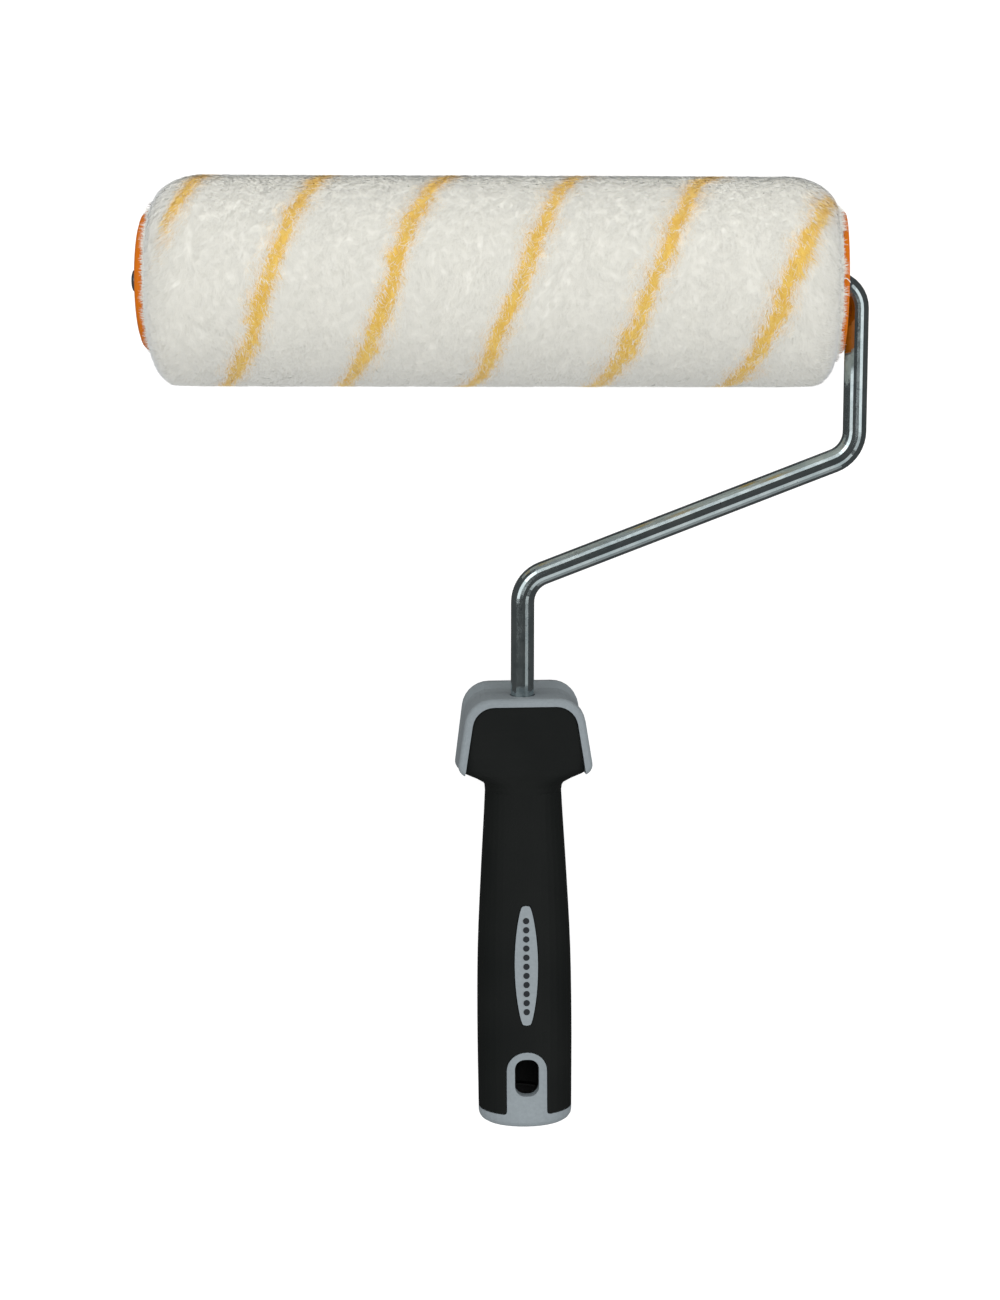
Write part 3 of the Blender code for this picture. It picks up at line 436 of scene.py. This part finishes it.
def make_fibres():
    """The pile's top fibres: combed round the roller in wisps, coloured by the stripe they grow in."""
    draw = np.random.default_rng(5)
    count = FIBRES
    shares = np.linspace(0, 1, 2000)
    cumulative = np.cumsum(pile_profile(shares)[1])
    along = np.interp(draw.random(count) * cumulative[-1], cumulative, shares)
    x, r, tx, tr = pile_profile(along)
    theta = draw.random(count) * TAU
    slope = (squarer(x + SLOPE_STEP, theta) - squarer(x - SLOPE_STEP, theta)) / (2 * SLOPE_STEP)
    r, tr = r + squarer(x, theta), tr + slope * tx
    size = np.hypot(tx, tr)
    tx, tr = tx / size, tr / size
    normal = np.stack([-tr, tx * np.sin(theta), tx * np.cos(theta)], axis=1)
    profile = np.stack([tx, tr * np.sin(theta), tr * np.cos(theta)], axis=1)
    round_way = np.stack([np.zeros(count), np.cos(theta), -np.sin(theta)], axis=1)
    surface = on_roller(x, r, theta)
    swirl = 0.5 * lattice_noise(surface, 16, 31)
    turn = swirl + draw.normal(0, 0.6, count)
    outward = smoothstep(PILE_HALF - 20, PILE_HALF - 4, np.abs(x)) * np.sign(x)
    turn = turn * (1 - 0.6 * np.abs(outward)) + 1.1 * outward
    lean = -round_way * np.cos(turn)[:, None] + profile * np.sin(turn)[:, None]
    long = draw.uniform(*FIBRE_LENGTH, count)
    rise = np.clip(draw.normal(0.34, 0.08, count), 0.12, 0.7)
    climb = long / 2 * (np.sin(rise) + np.sin(rise * TIP_RISE))
    tip_level = draw.uniform(*TIP_LEVELS, count) + 0.10 * lattice_noise(surface, 9, 21)
    root = surface + normal * (tip_level - climb)[:, None]
    width = draw.uniform(*FIBRE_WIDTH, count) * 1.0
    roll = draw.normal(0, 0.35, count)
    distance = stripe_distance(surface, theta) + draw.normal(0, 0.35, count)
    distance += 0.9 * lattice_noise(surface, 2.0, 33)
    pick = draw.random(count)
    gold = pick < 0.93 * (1 - smoothstep(0.9, 3.0, distance))
    halo = ~gold & (draw.random(count) < 0.8 * (1 - smoothstep(2.0, 5.5, distance)))
    patch = lattice_noise(surface, 2.2, 34) + draw.normal(0, 0.5, count)
    cloud = lattice_noise(surface, 7, 35) + draw.normal(0, 0.9, count)
    plain = ~gold & ~halo
    groups = (
        ("pile_fibres_gold", gold & (patch > -0.1), (0.88, 0.64, 0.17)),
        ("pile_fibres_amber", gold & (patch <= -0.1), (0.83, 0.54, 0.10)),
        ("pile_fibres_blush", halo, (0.85, 0.765, 0.635)),
        ("pile_fibres_white", plain & (cloud > 0.40), (0.832, 0.823, 0.762)),
        ("pile_fibres_cream", plain & (cloud <= 0.40) & (cloud > -0.40), (0.825, 0.815, 0.75)),
        ("pile_fibres_grey", plain & (cloud <= -0.40), (0.820, 0.813, 0.752)),
    )
    for name, chosen, color in groups:
        mesh = fibre_mesh(name, root[chosen], lean[chosen], rise[chosen], normal[chosen], long[chosen],
                          width[chosen], roll[chosen])
        add_piece(name, mesh, fibre(name, color), "roller")


def make_fringe():
    """Loose fibres at the pile's ends that hang over the caps' rims."""
    draw = np.random.default_rng(8)
    count = FRINGE_FIBRES
    side = np.where(draw.random(count) < 0.5, -1.0, 1.0)
    theta = draw.random(count) * TAU
    normal = np.stack([side * 0.3, 0.95 * np.sin(theta), 0.95 * np.cos(theta)], axis=1)
    outward = np.stack([np.zeros(count), np.sin(theta), np.cos(theta)], axis=1)
    round_way = np.stack([np.zeros(count), np.cos(theta), -np.sin(theta)], axis=1)
    axial = np.stack([side, np.zeros(count), np.zeros(count)], axis=1)
    radius = draw.uniform(*FRINGE_RADIUS, count)
    short = np.where(side < 0, LEFT_SHORT, RIGHT_SHORT)
    end = PILE_HALF - 0.2 - short - (radius - FRINGE_RADIUS[0]) * 0.3
    root = outward * radius[:, None] + axial * end[:, None]
    lean = (axial * draw.uniform(0.6, 1.0, count)[:, None]
            + outward * draw.uniform(-0.15, 0.1, count)[:, None]
            + round_way * draw.normal(0, 0.5, count)[:, None])
    lean /= np.linalg.norm(lean, axis=1)[:, None]
    tufts = np.clip(0.85 + 0.8 * lattice_noise(root, 2.5, 41), 0.25, 1.3)
    long = draw.uniform(*FRINGE_LENGTH, count) * tufts
    mesh = fibre_mesh("pile_fringe", root, lean, np.full(count, 0.1), normal, long,
                      draw.uniform(*FRINGE_WIDTH, count), draw.normal(0, 0.4, count))
    add_piece("pile_fringe", mesh, fibre("pile_fringe", FRINGE_TINT), "roller")


def tube_mesh(name, path, radius, matrix, sides=8):
    """A round strand along a path given in millimetres."""
    path = np.asarray(path, dtype=float)
    count = len(path)
    along = np.gradient(path, axis=0)
    along /= np.linalg.norm(along, axis=1)[:, None]
    helper = np.where(np.abs(along[:, :1]) > 0.8, [[0.0, 1.0, 0.0]], [[1.0, 0.0, 0.0]])
    first = np.cross(along, helper)
    first /= np.linalg.norm(first, axis=1)[:, None]
    second = np.cross(along, first)
    angle = np.arange(sides) / sides * TAU
    rings = (path[:, None, :] + radius * (np.cos(angle)[None, :, None] * first[:, None, :]
                                          + np.sin(angle)[None, :, None] * second[:, None, :]))
    verts = np.concatenate([rings.reshape(-1, 3), path[:1], path[-1:]])
    here, after = np.arange(sides), (np.arange(sides) + 1) % sides
    rows = np.arange(count - 1)[:, None] * sides
    quads = np.stack([rows + here, rows + after, rows + sides + after, rows + sides + here], axis=-1)
    last = (count - 1) * sides
    start_cap = np.stack([after, here, np.full(sides, count * sides)], axis=-1)
    end_cap = np.stack([last + here, last + after, np.full(sides, count * sides + 1)], axis=-1)
    caps = np.concatenate([start_cap, end_cap])
    return mesh_from_arrays(name, placed(verts, matrix), quads.reshape(-1, 4), caps)


def make_strand():
    """One loose strand that has come over the inner cap's rim."""
    share = np.linspace(0, 1, 14)
    x = PILE_HALF - 1.4 + 3.2 * share
    theta = 0.02 + 0.05 * np.sin(share * 3.2)
    radius = 24.6 - 0.3 * share + 0.5 * np.sin(share * math.pi)
    mesh = tube_mesh("loose_strand", on_roller(x, radius, theta), STRAND_THICKNESS, TOOL)
    add_piece("loose_strand", mesh, fibre("loose_strand", FRINGE_TINT), "roller")


# ---------------------------------------------------------------- stage

def make_stage():
    """A pale floor that stays white under the object."""
    floor_mesh = bpy.data.meshes.new("floor")
    reach = FLOOR_REACH
    floor_mesh.from_pydata([(-reach, -reach, 0), (reach, -reach, 0), (reach, reach, 0), (-reach, reach, 0)],
                           [], [(0, 1, 2, 3)])
    floor = bpy.data.objects.new("floor", floor_mesh)
    bpy.context.scene.collection.objects.link(floor)
    look = Look("floor_paint", Roughness=0.9, Specular_IOR_Level=0.0)
    look.shader.inputs["Emission Color"].default_value = (1, 1, 1, 1)
    look.shader.inputs["Emission Strength"].default_value = FLOOR_GLOW
    paper = look.ramp(look.noise(300, 3), ((0.3, 0.37), (0.7, 0.39)))
    floor.data.materials.append(look.finish(paper))
    floor.visible_glossy = False
    floor.visible_diffuse = False


def mixed(nodes, links, amount, first, second):
    """The mix of two numbers or outputs."""
    mix = nodes.new("ShaderNodeMix")
    mix.data_type = "FLOAT"
    links.new(amount, mix.inputs[0])
    for socket, value in ((mix.inputs[2], first), (mix.inputs[3], second)):
        if isinstance(value, float):
            socket.default_value = value
        else:
            links.new(value, socket)
    return mix.outputs[0]


def make_room():
    """A room that is brightest overhead, lit from below by its floor, dark in reflections, seen white."""
    world = bpy.data.worlds.new("room")
    bpy.context.scene.world = world
    world.use_nodes = True
    world.cycles.sampling_method = "NONE"
    nodes, links = world.node_tree.nodes, world.node_tree.links
    back = nodes["Background"]
    height = nodes.new("ShaderNodeSeparateXYZ")
    links.new(nodes.new("ShaderNodeTexCoord").outputs["Generated"], height.inputs[0])
    light = nodes.new("ShaderNodeMapRange")
    light.inputs["From Min"].default_value = 0.0
    light.inputs["To Min"].default_value = ROOM_LOW
    light.inputs["To Max"].default_value = ROOM_HIGH
    links.new(height.outputs["Z"], light.inputs["Value"])
    under = nodes.new("ShaderNodeMath")
    under.operation = "LESS_THAN"
    under.inputs[1].default_value = 0.0
    links.new(height.outputs["Z"], under.inputs[0])
    path = nodes.new("ShaderNodeLightPath")
    level = ROOM_SEEN
    for amount, value in (
        (path.outputs["Is Diffuse Ray"], mixed(nodes, links, under.outputs[0], light.outputs["Result"],
                                               ROOM_UNDER)),
        (path.outputs["Is Glossy Ray"], ROOM_GLOSS),
    ):
        level = mixed(nodes, links, amount, level, value)
    links.new(level, back.inputs["Strength"])
    back.inputs["Color"].default_value = (1.0, 1.0, 1.0, 1)


def softbox(name, location, target, size, radiance):
    """A flat lamp whose surface has that radiance."""
    data = bpy.data.lights.new(name, "AREA")
    data.shape = "RECTANGLE"
    data.size, data.size_y = size
    data.energy = radiance * math.pi * size[0] * size[1]
    lamp = bpy.data.objects.new(name, data)
    bpy.context.scene.collection.objects.link(lamp)
    lamp.location = location
    aim = Vector(target) - Vector(location)
    lamp.rotation_euler = aim.to_track_quat("-Z", "Y").to_euler()
    return lamp


def make_lights():
    """Softboxes round the object, two dim walls, and a low fill from beyond that reflections leave out."""
    softbox("left_softbox", (-0.84, 0.33, 1.18), (0.12, 0.33, 0.04), (0.95, 1.15), 1.10)
    softbox("right_softbox", (1.13, 0.33, 1.12), (0.12, 0.33, 0.04), (1.02, 1.15), 1.10)
    softbox("far_softbox", (-0.25, 0.72, 1.20), (0.06, 0.04, 0.04), (1.3, 0.2), 1.1)
    softbox("stem_softbox", (1.08, -0.38, 0.85), (0.01, -0.05, 0.04), (0.35, 0.45), 0.6)
    softbox("near_softbox", (0.45, -1.15, 0.85), (0.06, 0.04, 0.04), (1.6, 0.5), 0.68)
    softbox("far_wall", (0.0, 1.6, 0.45), (0.0, 0.0, 0.1), (2.4, 0.8), 0.3)
    softbox("near_wall", (0.0, -1.6, 0.45), (0.0, 0.0, 0.1), (2.4, 0.8), 0.3)
    fill = softbox("far_fill", (0.0, 1.5, 0.22), (0.0, 0.0, 0.05), (2.4, 0.44), 1.5)
    fill.visible_glossy = False


def make_camera():
    """The photograph's view: from above, a little towards the handle."""
    data = bpy.data.cameras.new("camera")
    data.sensor_fit = "HORIZONTAL"
    data.sensor_width = CAMERA_SENSOR
    data.lens = CAMERA_LENS
    camera = bpy.data.objects.new("camera", data)
    bpy.context.scene.collection.objects.link(camera)
    camera.location = AXIS + CAMERA_PLACE
    camera.rotation_euler = Euler([math.radians(angle) for angle in CAMERA_TURN])
    bpy.context.scene.camera = camera


# ---------------------------------------------------------------- object

def dress(node, look):
    """Gives a CAD node a better material."""
    for place in frame["nodes"][node].material_slots:
        place.link = "OBJECT"
        place.material = look


def joined(name, meshes):
    """One mesh from several, which are removed."""
    made = bmesh.new()
    for mesh in meshes:
        made.from_mesh(mesh)
        bpy.data.meshes.remove(mesh)
    whole = bpy.data.meshes.new(name)
    made.to_mesh(whole)
    made.free()
    return whole


def make_thread(look):
    """The thread inside the pole socket, open where the hang hole is."""
    angle = np.arange(0, THREAD_TURNS * TAU, TAU / THREAD_SIDES)
    along = THREAD_START + THREAD_PITCH * angle / TAU
    path = np.stack([THREAD_RADIUS * np.sin(angle), along, THREAD_RADIUS * np.cos(angle)], axis=1)
    at_hole = np.abs(along - HOLE_MIDDLE) < HOLE_HALF
    kept = np.flatnonzero(~at_hole)
    runs = np.split(kept, np.flatnonzero(np.diff(kept) > 1) + 1)
    meshes = [tube_mesh("thread", path[run], THREAD_THICKNESS, HANDLE) for run in runs if len(run) > 3]
    add_piece("socket_thread", joined("socket_thread", meshes), look, "frame")


def make_badge_dots(look):
    """A plain row of dots printed along the badge."""
    badge = frame["nodes"]["badge_plate"]
    inward = -(HANDLE.to_3x3() @ Vector((0, 0, 1)))
    local = badge.matrix_world.inverted()
    meshes = []
    for step in range(BADGE_DOTS):
        place = Vector((0, BADGE_TOP - step * BADGE_SPACING, RAY_HEIGHT)) * MM
        start = HANDLE @ place
        hit, point, normal, _ = badge.ray_cast(local @ start, local.to_3x3() @ inward)
        if not hit:
            continue
        made = bmesh.new()
        turn = normal.to_track_quat("Z", "Y").to_matrix().to_4x4()
        at_point = badge.matrix_world @ Matrix.Translation(point) @ turn
        bmesh.ops.create_cone(made, cap_ends=True, segments=DOT_SIDES, radius1=DOT_RADIUS,
                              radius2=DOT_RADIUS, depth=DOT_HEIGHT, matrix=at_point)
        mesh = bpy.data.meshes.new("dot")
        made.to_mesh(mesh)
        made.free()
        meshes.append(mesh)
    add_piece("badge_dots", joined("badge_dots", meshes), look, "frame")


def dress_nodes():
    """Gives every CAD node its material."""
    orange = moulded_plastic("orange_cap", (0.64, 0.155, 0.002), 0.40, Specular_IOR_Level=0.15)
    grey = moulded_plastic("grey_handle", (0.25, 0.285, 0.305), 0.45, Specular_IOR_Level=0.30)
    tube = moulded_plastic("tube_wall", (0.70, 0.70, 0.68), 0.5)
    acetal = moulded_plastic("bush_acetal", (0.80, 0.80, 0.78), 0.38)
    socket = moulded_plastic("socket_black", BLACK, 0.45, Specular_IOR_Level=0.2)
    wire = zinc("zinc_wire")
    spring = zinc("spring_steel_dark", (0.20, 0.20, 0.21), (0.34, 0.34, 0.35))
    for names, look in (
        (("outer_end_cap", "inner_end_cap"), orange),
        (("handle_core", "badge_plate"), grey),
        (("core_tube",), tube),
        (("outer_bearing_bush", "inner_bearing_bush"), acetal),
        (("pole_socket",), socket),
        (("frame_rod", "outer_thrust_washer", "inner_thrust_washer", "stop_collar"), wire),
        (("retaining_ring",), spring),
        (("soft_grip",), rubber("grip_rubber")),
    ):
        for name in names:
            dress(name, look)


bpy.context.scene.view_settings.view_transform = "Standard"
make_camera()
make_stage()
make_room()
make_lights()
dress_nodes()
make_backing()
make_fibres()
make_fringe()
make_strand()
ink = moulded_plastic("printed_dots", (0.02, 0.024, 0.028), 0.5, Specular_IOR_Level=0.2)
make_badge_dots(ink)
make_thread(moulded_plastic("thread_black", BLACK, 0.45, Specular_IOR_Level=0.2))
